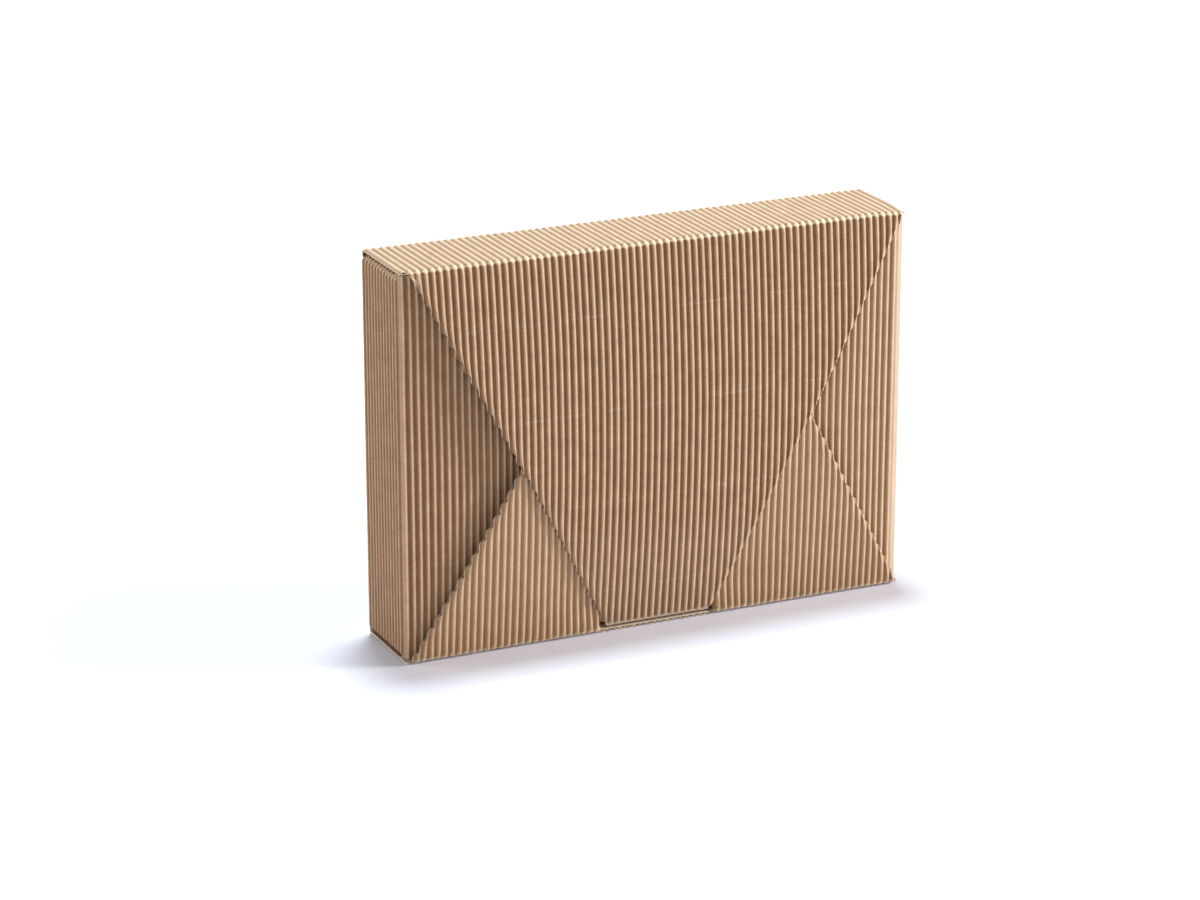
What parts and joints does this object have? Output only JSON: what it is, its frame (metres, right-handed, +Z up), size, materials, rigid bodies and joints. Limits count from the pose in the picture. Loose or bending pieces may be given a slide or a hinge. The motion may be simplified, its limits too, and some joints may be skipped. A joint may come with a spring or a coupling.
{
  "type": "corrugated mailer box",
  "caption": "Flat mailer box of single-face corrugated card, flutes outside, with an envelope front: side flaps, bottom flap and a tapering closing flap with a tuck-in tongue.",
  "frame": {"origin": "middle of the footprint, on the surface that the box stands on", "axes": "+X along the width, +Y from the flaps at the front to the back panel, +Z up"},
  "size_m": [0.242, 0.0522, 0.176],
  "materials": {
    "body_board": "matt brown kraft paper, fluted outside",
    "flap_board": "matt brown kraft paper, fluted outside"
  },
  "bodies": {
    "box": {"box_body": "body_board"},
    "flap": {"closing_flap": "flap_board"}
  },
  "joints": [
    {"name": "closing_flap_fold", "type": "hinge", "parent": "box", "child": "flap", "pos_m": [0, -0.01699, 0.17463], "axis": [-1, 0, 0], "range_deg": [0, 175]}
  ]
}
